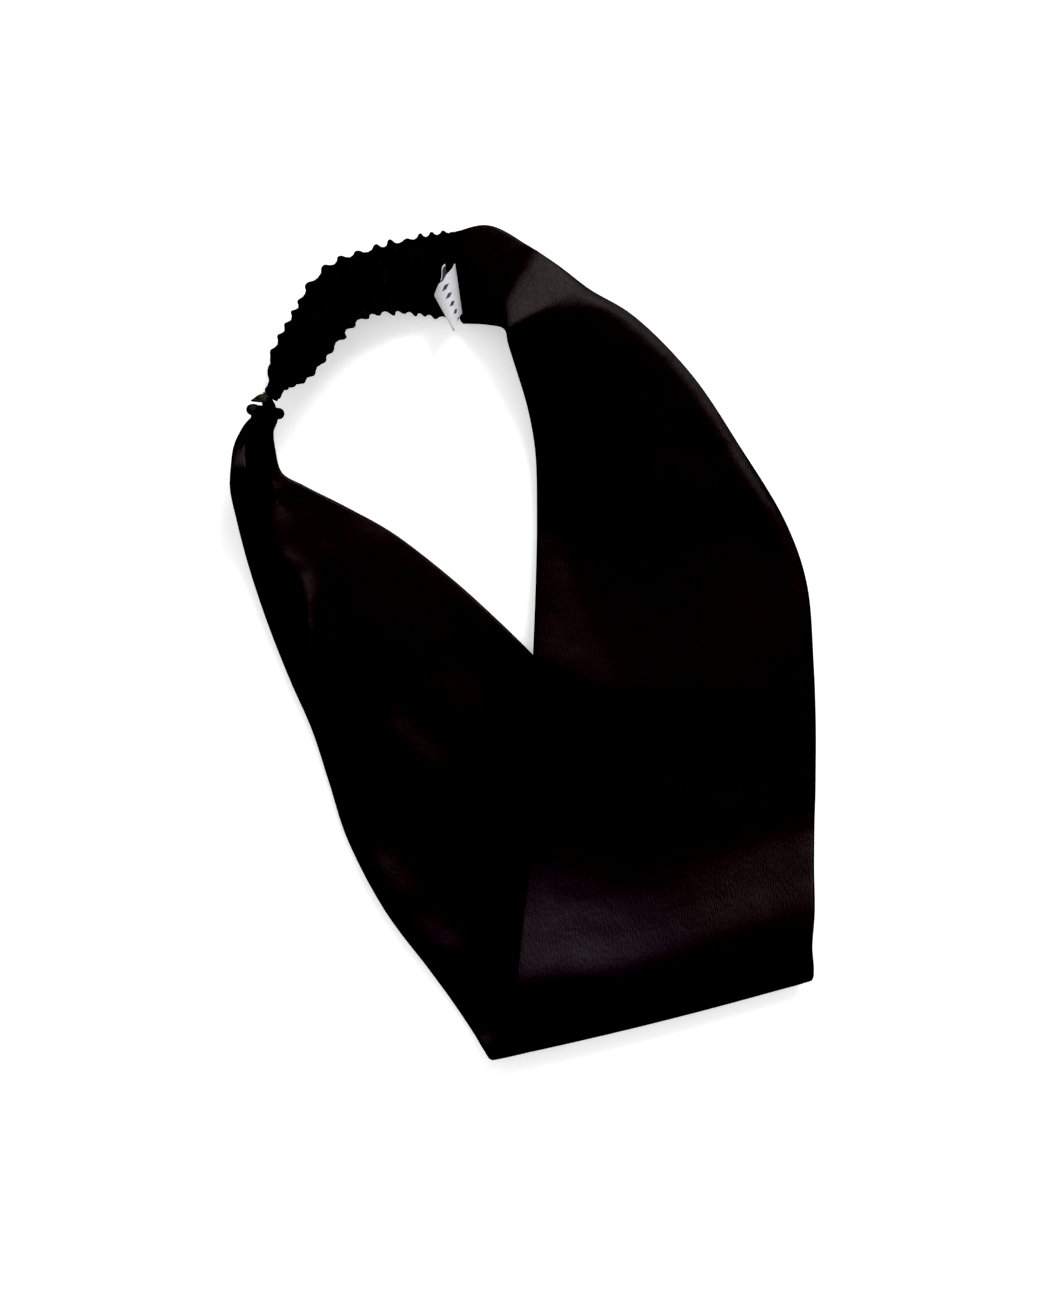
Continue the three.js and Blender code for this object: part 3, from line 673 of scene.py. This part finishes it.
def seam_stitches(material):
    """A row of thread stitches that holds the satin down next to the label seam."""
    middle, half, cloth = satin_grid()
    row = np.searchsorted(cloth[:, 0, 0], STITCH_FROM_SEAM)
    top = (middle + grid_normals(middle) * half[..., None])[row]
    walk = walked(top)
    count = int((walk[-1] - 2 * STITCH_END) / (STITCH_LENGTH + STITCH_GAP))
    angle = np.arange(STITCH_SIDES) / STITCH_SIDES * 2 * math.pi
    along = (1 - np.cos(np.linspace(0, math.pi, STITCH_POINTS))) / 2
    taper = np.minimum(np.abs(2 * along - 1), STITCH_TIP) ** STITCH_SQUARENESS
    thick = STITCH_RADIUS * np.sqrt(1 - taper)[:, None, None]
    parts = []
    for k in range(count):
        start = STITCH_END + k * (STITCH_LENGTH + STITCH_GAP)
        at = start + along * STITCH_LENGTH
        line = np.stack([np.interp(at, walk, top[:, axis]) for axis in range(3)], axis=1)
        line[:, 2] += STITCH_RISE * (1 - (2 * along - 1) ** 2) - STITCH_RISE / 2
        ahead = unit(line[-1] - line[0])
        side = unit(np.cross(ahead, (0, 0, 1)))
        up = np.cross(side, ahead)
        turn = side * np.cos(angle)[:, None] + up * np.sin(angle)[:, None]
        rings = line[:, None] + thick * turn
        places = np.stack([angle * STITCH_RADIUS + 0 * at[:, None], at[:, None] + 0 * angle], axis=2)
        parts.append((rings, places))
    return loft("seam_stitches", parts, material)


def pleat_phase(nubs, along):
    """How many pleats have gone by: a whole number on each nub, and half a pleat more in the valley after
    it."""
    places = [nub.along for nub in nubs]
    inside = np.interp(along, places, np.arange(len(nubs)))
    before = np.minimum(along - places[0], 0) / (places[1] - places[0])
    after = np.maximum(along - places[-1], 0) / (places[-1] - places[-2])
    return inside + before + after


def nub_reach(nubs, phase):
    """How far the nubs stand out of an edge, where so many pleats have gone by."""
    nearest = np.clip(np.round(phase).astype(int), 0, len(nubs) - 1)
    heights = np.array([nub.height for nub in nubs])[nearest]
    return heights * np.exp(-(np.abs((phase - nearest) / NUB_SPREAD) ** NUB_SQUARENESS))


def ruched_casing(material):
    """The elastic's casing: a flat tube with pleats that run over both its faces and stand out of its edges
    as nubs."""
    steps = np.linspace(0, 1, CASING_STEPS + 1)
    low = curve_through([row.low for row in CASING])(steps)
    high = curve_through([row.high for row in CASING])(steps)
    low_walk, high_walk = walked(low), walked(high)
    low_phase = pleat_phase(LOW_NUBS, low_walk)[:, None]
    high_phase = pleat_phase(HIGH_NUBS, high_walk)[:, None]
    ahead = unit(unit(np.gradient(low, axis=0)) + unit(np.gradient(high, axis=0)))
    width = unit(high - low)
    face = unit(np.cross(width, ahead))
    half_width = np.linalg.norm(high - low, axis=1)[:, None] / 2

    angle = np.arange(CASING_SIDES) / CASING_SIDES * 2 * math.pi
    across, up = np.cos(angle)[None], np.sin(angle)[None]
    walk = (low_walk + high_walk)[:, None] / 2
    side = np.where(up >= 0, 0.0, CASING_REVERSE)
    from_middle = half_width * across
    wander = unevenness(PLEAT_WANDER, walk, from_middle, side) * (1 - across**PLEAT_STRAIGHT)
    towards_high = smooth(-PLEAT_HOLD, PLEAT_HOLD, across + 0 * walk)
    phase = blend(low_phase, high_phase, towards_high) + wander
    pleat = np.abs(np.cos(math.pi * phase)) ** PLEAT_ROUNDNESS

    border = np.abs(across) ** EDGE_DRAWN
    drawn_in = np.where(across < 0, LOW_DRAWN_IN, HIGH_DRAWN_IN)
    nubs = np.where(across < 0, nub_reach(LOW_NUBS, low_phase), nub_reach(HIGH_NUBS, high_phase))
    reach = half_width - drawn_in * border + nubs * np.abs(across) ** NUB_BORDER
    reach = reach + EDGE_PLEAT_DEPTH * border * (pleat - EDGE_PLEAT_LEVEL)

    swell = 1 + unevenness(CASING_SWELL, walk, from_middle, side)
    crumple = unevenness(CASING_CRUMPLE, walk, from_middle, side)
    depth = CASING_HALF_THICKNESS + PLEAT_DEPTH * swell * (pleat - PLEAT_LEVEL) + crumple
    bulge = np.sign(up) * np.abs(up) ** CASING_FLATNESS
    centre = ((low + high) / 2)[:, None]
    sideways = width[:, None] * (reach * across)[..., None]
    upwards = face[:, None] * (depth * bulge)[..., None]
    rings = centre + sideways + upwards
    rings[..., 2] = np.maximum(rings[..., 2], 0)
    cloth = np.stack([walk + 0 * across, half_width * (1 + across) + side], axis=2)
    return loft("ruched_casing", [(rings, cloth)], material)


def roll_rings(roll):
    """The rings of a pleated roll, and each point's place on its flat cloth."""
    start, end = np.array(roll.start, float), np.array(roll.end, float)
    ahead = unit(end - start)
    side = unit(np.cross(ahead, (0, 0, 1)))
    up = np.cross(side, ahead)
    along = (1 - np.cos(np.linspace(0, math.pi, ROLL_STEPS + 1)))[:, None] / 2
    ends = np.abs(2 * along - 1)
    tip = np.sqrt(np.maximum(1 - ends**ROLL_SQUARENESS, ROLL_END**2))
    angle = (np.arange(ROLL_SIDES) / ROLL_SIDES * 2 * math.pi)[None]
    length = np.linalg.norm(end - start)
    phase = along * roll.pleats + unevenness(ROLL_WANDER, along * length, angle * roll.half_height)
    pleat = np.abs(np.cos(math.pi * phase)) ** PLEAT_ROUNDNESS - ROLL_PLEAT_LEVEL
    size = (1 + roll.lobe * ends**ROLL_LOBES) * tip * (1 + roll.pleat_depth * pleat)
    centre = start + (end - start) * along[..., None]
    sideways = side * (roll.half_width * size * np.cos(angle))[..., None]
    upwards = up * (roll.half_height * size * np.sin(angle))[..., None]
    rings = centre + sideways + upwards
    cloth = np.stack([angle * roll.half_height + 0 * along, along * length + 0 * angle], axis=2)
    return rings, cloth


def seam_roll(name, roll, material):
    return loft(name, [roll_rings(roll)], material)


def pinch_flap(material):
    """The flap of cloth that stands off the pinch seam, a little rippled towards its lip."""
    along, across = np.linspace(0, 1, FLAP_STEPS), np.linspace(0, 1, FLAP_COLUMNS)
    root = curve_through([row.root for row in PINCH_FLAP])(along)
    lip = curve_through([row.lip for row in PINCH_FLAP])(along)
    middle = root[:, None] + (lip - root)[:, None] * across[:, None]
    walk = walked(lip)[:, None]
    reach = np.linalg.norm(lip - root, axis=1)[:, None]
    middle[..., 2] += FLAP_RIPPLE * np.sin(walk * FLAP_RIPPLE_RATE + across * FLAP_RIPPLE_LEAN) * across
    from_edge = np.minimum(across, 1 - across) * reach
    half = FLAP_HALF_THICKNESS * np.sqrt(1 - np.maximum(0, 1 - from_edge / FLAP_HALF_THICKNESS) ** 2)
    cloth = np.stack([walk + 0 * across, across * reach], axis=2)
    return loft("pinch_flap", [(wall_rings(middle, half), there_and_back(cloth))], material)


def folded_label(material):
    """The label's loop: its front layer from the seam to the fold, round it, and its back layer to the seam
    again. share is how far along the ribbon a point lies, and station how far across it."""
    outer, inner = ([np.array(place, float) for place in row] for row in LABEL)
    station = np.linspace(0, 1, LABEL_STEPS)[:, None]
    layer = np.linspace(0, 1, LABEL_LAYER_POINTS) * ((1 - LABEL_FOLD_SHARE) / 2)
    round_fold = np.linspace(-0.5, 0.5, LABEL_FOLD_POINTS)[1:-1]
    share = np.concatenate([layer, 0.5 + round_fold * LABEL_FOLD_SHARE, (1 - layer)[::-1]])[None]

    def ribbon(where, depth):
        tail, bend, fold = (blend(outer[k], inner[k], where[..., None]) for k in range(3))
        depth = depth[..., None]
        return (1 - depth) ** 2 * tail + 2 * depth * (1 - depth) * bend + depth**2 * fold

    side = np.where(share < 0.5, 1, -1)
    gone = np.minimum(share, 1 - share) * 2
    straight = np.minimum(gone / (1 - LABEL_FOLD_SHARE), 1)
    bent = np.maximum((gone - 1) / LABEL_FOLD_SHARE + 1, 0) * math.pi / 2
    sample = ribbon(station, np.linspace(0, 1, LABEL_SAMPLES)[None] + 0 * station)
    length = np.linalg.norm(np.diff(sample, axis=1), axis=2).sum(axis=1)[:, None]
    fold_depth = LABEL_FOLD_RADIUS / length
    depth = straight * (1 - fold_depth) + fold_depth * np.sin(bent)
    eye = LABEL_EYE * np.sin(math.pi * blend(LABEL_EYE_START, 1, straight)) * (1 - LABEL_EYE_LOSS * station)
    apart = (LABEL_FOLD_RADIUS + eye) * np.cos(bent)
    where = station - LABEL_SKEW * (1 - station) * np.sin(math.pi * np.maximum(2 * share - 1, 0))
    ahead = np.minimum(depth + LABEL_NEAR, 1)
    deeper = unit(ribbon(where, ahead) - ribbon(where, ahead - 2 * LABEL_NEAR))
    wider = ribbon(where * 0 + 1, depth) - ribbon(where * 0, depth)
    middle = ribbon(where, depth) + unit(np.cross(deeper, wider)) * (side * apart)[..., None]
    from_end = np.minimum(share, 1 - share) + 0 * station
    half = LABEL_HALF_THICKNESS * np.sqrt(np.minimum(from_end / LABEL_TIP, 1))
    cloth = np.stack([share * 2 * length, station * LABEL_WIDTH + 0 * share], axis=2)
    places = there_and_back(cloth)
    places[:, : cloth.shape[1], 0] += LABEL_REVERSE
    return loft("woven_label", [(wall_rings(middle, half), places)], material)


def shader(name, **values):
    """A material with a Principled shader and its sockets set, as (material, its node tree, the shader)."""
    material = bpy.data.materials.new(name)
    material.use_nodes = True
    principled = material.node_tree.nodes["Principled BSDF"]
    for socket, value in values.items():
        principled.inputs[socket.replace("_", " ")].default_value = value
    return material, material.node_tree, principled


def give(tree, socket, value):
    """Set a socket to a value, or link it to another node's output."""
    if isinstance(value, bpy.types.NodeSocket):
        tree.links.new(value, socket)
    else:
        socket.default_value = value


def node(tree, kind, **values):
    """A new shader node with its properties (lower case) and its sockets (capital first letter) given."""
    made = tree.nodes.new("ShaderNode" + kind)
    for key, value in values.items():
        if key[0].islower():
            setattr(made, key, value)
        else:
            give(tree, made.inputs[key.replace("_", " ")], value)
    return made


def maths(tree, operation, *values):
    """The result of a Math node over values, each a number or another node's output."""
    made = node(tree, "Math", operation=operation)
    for socket, value in zip(made.inputs, values):
        give(tree, socket, value)
    return made.outputs["Value"]


def noise(tree, places, **values):
    return node(tree, "TexNoise", Vector=places, **values).outputs["Fac"]


def ranged(tree, value, **limits):
    return node(tree, "MapRange", Value=value, **limits).outputs["Result"]


def mix_colours(tree, factor, first, second):
    """A mix of two colours, each as three numbers or another node's output."""
    made = node(tree, "Mix", data_type="RGBA")
    give(tree, made.inputs[MIX_FACTOR], factor)
    for socket, colour in ((MIX_FIRST, first), (MIX_SECOND, second)):
        give(tree, made.inputs[socket], (*colour, 1) if isinstance(colour, tuple) else colour)
    return made.outputs[MIX_RESULT]


def raise_bumps(tree, principled, height, strength, distance):
    bump = node(tree, "Bump", Height=height, Strength=strength, Distance=distance)
    give(tree, principled.inputs["Normal"], bump.outputs["Normal"])


def cloth_places(tree, along, across):
    """The cloth's own coordinates, in threads. along and across are how many threads there are to a
    metre."""
    uv = node(tree, "UVMap", uv_map="cloth").outputs["UV"]
    return node(tree, "Mapping", Vector=uv, Scale=(along, across, 1)).outputs["Vector"]


def satin_material():
    material, tree, principled = shader(
        "black_satin",
        Roughness=0.34,
        Specular_IOR_Level=0.075,
        Specular_Tint=(1, 0.84, 0.88, 1),
        Anisotropic=0.3,
    )
    places = node(tree, "TexCoord").outputs["Object"]
    # Painted reflection: the black is mixed towards a cool tint round the place on the turn where its
    # highlight shows purple, and partly by a slow random drift of tone
    moved = node(
        tree,
        "Mapping",
        Vector=places,
        Location=[-c / REFLECTION_TINT_RADIUS for c in REFLECTION_TINT_PLACE],
        Scale=[1 / REFLECTION_TINT_RADIUS] * 3,
    )
    near_reflection = node(tree, "TexGradient", gradient_type="SPHERICAL", Vector=moved.outputs["Vector"])
    drift = noise(tree, places, Scale=28.0, Detail=2.0)
    tint = maths(tree, "MULTIPLY_ADD", drift, DRIFT_SHARE, near_reflection.outputs["Fac"])
    reflection_share = ranged(tree, tint, From_Min=TINT_START, From_Max=TINT_END)
    give(tree, principled.inputs["Base Color"], mix_colours(tree, reflection_share, SATIN_WARM, SATIN_REFLECTION_TINT))

    threads = cloth_places(tree, SATIN_THREADS * SATIN_GRAIN, SATIN_THREADS)
    grain = noise(tree, threads, Scale=1.0, Detail=2.0, Roughness=0.6)
    wear = noise(tree, places, Scale=60.0, Detail=3.0)
    height = maths(tree, "MULTIPLY_ADD", wear, WEAR_RELIEF, grain)
    raise_bumps(tree, principled, height, strength=0.5, distance=0.0002)
    give(tree, principled.inputs["Roughness"], ranged(tree, grain, To_Min=0.28, To_Max=0.4))
    return material


def woven(name, dark, light, threads, gloss, relief, **values):
    """A plain cloth: threads crossing over and under, with a slow drift between two colours, a fine grain
    in them, and a roughness that follows the grain. threads are how many there are to a metre, gloss is the
    least and the most roughness, and relief is how deep the threads are, in metres. The result is what
    shader gives."""
    material, tree, principled = shader(name, **values)
    places = cloth_places(tree, threads, threads)
    parts = node(tree, "SeparateXYZ", Vector=places).outputs
    waves = [maths(tree, "SINE", maths(tree, "MULTIPLY", parts[axis], math.pi)) for axis in "XY"]
    crossing = maths(tree, "MULTIPLY", *waves)
    fibres = noise(tree, places, Scale=2.2, Detail=3.0, Roughness=0.65)
    height = maths(tree, "MULTIPLY_ADD", crossing, WOVEN_RELIEF, fibres)
    raise_bumps(tree, principled, height, strength=0.6, distance=relief)
    drift = noise(tree, node(tree, "TexCoord").outputs["Object"], Scale=160.0, Detail=4.0)
    share = ranged(tree, maths(tree, "MULTIPLY", drift, fibres), From_Min=0.12, From_Max=0.4)
    give(tree, principled.inputs["Base Color"], mix_colours(tree, share, dark, light))
    give(tree, principled.inputs["Roughness"], ranged(tree, fibres, To_Min=gloss[0], To_Max=gloss[1]))
    return material, tree, principled


def label_material():
    """Pale woven ribbon with a row of small dark lozenges across its front, and painted shade over its
    reverse, standing for the shade inside the loop, all but a pale border."""
    material, tree, principled = woven(
        "label_ribbon",
        dark=(0.38, 0.375, 0.395),
        light=(0.47, 0.465, 0.485),
        threads=2400,
        gloss=(0.5, 0.65),
        relief=0.00006,
        Specular_IOR_Level=0.2,
    )
    ground = principled.inputs["Base Color"].links[0].from_socket
    parts = node(tree, "SeparateXYZ", Vector=cloth_places(tree, 1 / MM, 1 / MM)).outputs
    along = maths(tree, "ABSOLUTE", maths(tree, "SUBTRACT", parts["X"], LOZENGE_AT))
    across = maths(tree, "PINGPONG", parts["Y"], LOZENGE_STEP / 2)
    size = maths(tree, "MULTIPLY_ADD", along, LOZENGE_SHAPE, across)
    outer, inner = LOZENGE_SIZE + PRINT_SOFTNESS, LOZENGE_SIZE - PRINT_SOFTNESS
    lozenge = ranged(tree, size, From_Min=outer, From_Max=inner)
    front = mix_colours(tree, lozenge, ground, LOZENGE_COLOUR)

    # Painted shade: the reverse, the face inside the loop, is darkened to stand for the shade there, all
    # but a pale border along the edge at the outer end
    reverse = maths(tree, "GREATER_THAN", parts["X"], LABEL_REVERSE / 2)
    outer, inner = UNSHADED_BORDER - PRINT_SOFTNESS, UNSHADED_BORDER + PRINT_SOFTNESS
    dark = maths(tree, "MULTIPLY", reverse, ranged(tree, parts["Y"], From_Min=outer, From_Max=inner))
    give(tree, principled.inputs["Base Color"], mix_colours(tree, dark, front, REVERSE_PAINTED_SHADE_COLOUR))
    return material


def camera():
    data = bpy.data.cameras.new("view")
    data.sensor_fit = "HORIZONTAL"
    data.sensor_width = SENSOR_WIDTH
    data.lens = SENSOR_WIDTH * VIEW_DISTANCE / VIEW_WIDTH
    eye = bpy.data.objects.new("view", data)
    back = Vector((0, -math.cos(VIEW_ELEVATION), math.sin(VIEW_ELEVATION)))
    eye.location = (Vector(VIEW_TARGET) + back * VIEW_DISTANCE) * MM
    eye.rotation_mode = "QUATERNION"
    eye.rotation_quaternion = (-back).to_track_quat("-Z", "Y")
    bpy.context.scene.collection.objects.link(eye)
    bpy.context.scene.camera = eye


def lights():
    data = bpy.data.lights.new("window", "SUN")
    data.energy = SUN_STRENGTH
    data.angle = SUN_SPREAD
    sun = bpy.data.objects.new("window", data)
    sun.rotation_mode = "QUATERNION"
    flat = math.sin(SUN_FROM_POLAR)
    east, north = flat * math.cos(SUN_FROM_AZIMUTH), flat * math.sin(SUN_FROM_AZIMUTH)
    towards = Vector((east, north, math.cos(SUN_FROM_POLAR)))
    sun.rotation_quaternion = towards.to_track_quat("Z", "Y")
    bpy.context.scene.collection.objects.link(sun)

    world = bpy.data.worlds.new("studio")
    world.use_nodes = True
    tree = world.node_tree
    background = tree.nodes["Background"]
    height = node(tree, "SeparateXYZ", Vector=node(tree, "TexCoord").outputs["Generated"]).outputs["Z"]
    fill = ranged(
        tree, height, From_Min=-HORIZON_SOFTNESS, From_Max=HORIZON_SOFTNESS, To_Max=FILL_STRENGTH
    )
    give(tree, background.inputs["Strength"], fill)
    give(tree, background.inputs["Color"], (1, 1, 1, 1))
    bpy.context.scene.world = world


def tone():
    settings = bpy.context.scene.view_settings
    settings.view_transform = "Standard"
    settings.use_curve_mapping = True
    settings.curve_mapping.black_level = BLACK_LEVEL
    settings.curve_mapping.update()


def floor():
    """A flat floor that curves up into a pale wall all round, far from the band."""
    profile = [(radius, 0.0) for radius in FLOOR_RINGS]
    for step in range(1, FLOOR_BEND_STEPS + 1):
        angle = step / FLOOR_BEND_STEPS * math.pi / 2
        height = FLOOR_BEND * (1 - math.cos(angle))
        profile.append((FLOOR_RINGS[-1] + FLOOR_BEND * math.sin(angle), height))
    profile.append((FLOOR_RINGS[-1] + FLOOR_BEND, FLOOR_BEND + FLOOR_WALL))
    points = []
    for reach, height in profile:
        for k in range(FLOOR_SIDES):
            angle = k / FLOOR_SIDES * 2 * math.pi
            points.append((reach * math.cos(angle), reach * math.sin(angle), height - FLOOR_BELOW))
    faces = [tuple(range(FLOOR_SIDES))]
    for ring in range(len(profile) - 1):
        for k in range(FLOOR_SIDES):
            a, b = ring * FLOOR_SIDES + k, ring * FLOOR_SIDES + (k + 1) % FLOOR_SIDES
            faces.append((a, a + FLOOR_SIDES, b + FLOOR_SIDES, b))
    mesh = bpy.data.meshes.new("floor")
    mesh.from_pydata(points, [], faces)
    mesh.polygons.foreach_set("use_smooth", np.ones(len(faces), bool))
    material, *_ = shader(
        "pale_paper",
        Base_Color=(0.86, 0.86, 0.86, 1),
        Roughness=0.9,
        Specular_IOR_Level=0.2,
        Emission_Color=(1, 1, 1, 1),
        Emission_Strength=FLOOR_GLOW,
    )
    mesh.materials.append(material)
    ground = bpy.data.objects.new("floor", mesh)
    ground.visible_glossy = False
    bpy.context.scene.collection.objects.link(ground)


camera()
lights()
tone()
floor()

band = satin_cloth(satin_material())
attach(band, "root")
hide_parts("satin_band")

casing, *_ = woven(
    "ruched_satin",
    dark=(0.0018, 0.0014, 0.0016),
    light=(0.0034, 0.0028, 0.003),
    threads=3200,
    gloss=(0.45, 0.6),
    relief=0.0001,
    Specular_IOR_Level=0.045,
)
back = ruched_casing(casing)
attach(back, "root")
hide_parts("elastic_back")

seam, *_ = woven(
    "seam_cloth",
    dark=(0.0015, 0.0013, 0.0013),
    light=(0.003, 0.0026, 0.0026),
    threads=2600,
    gloss=(0.5, 0.7),
    relief=0.0001,
    Specular_IOR_Level=0.03,
)
pinched, *_ = woven(
    "pinched_cloth",
    dark=(0.002, 0.0017, 0.0016),
    light=(0.0045, 0.0038, 0.0034),
    threads=2600,
    gloss=(0.45, 0.6),
    relief=0.0001,
    Specular_IOR_Level=0.13,
)
allowance, *_ = woven(
    "seam_allowance",
    dark=(0.006, 0.005, 0.0042),
    light=(0.018, 0.0145, 0.011),
    threads=2600,
    gloss=(0.55, 0.75),
    relief=0.0001,
    Specular_IOR_Level=0.1,
)
for piece, solid in (
    (seam_roll("label_seam_roll", LABEL_SEAM, seam), "label_seam"),
    (seam_stitches(seam), "label_seam"),
    (seam_roll("pinch_roll", PINCH_SEAM, pinched), "pinch_seam"),
    (seam_roll("pinch_core", PINCH_CORE, seam), "pinch_seam"),
    (pinch_flap(allowance), "pinch_seam"),
):
    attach(piece, "root")
    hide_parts(solid)

label = folded_label(label_material())
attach(label, "root")
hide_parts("label")
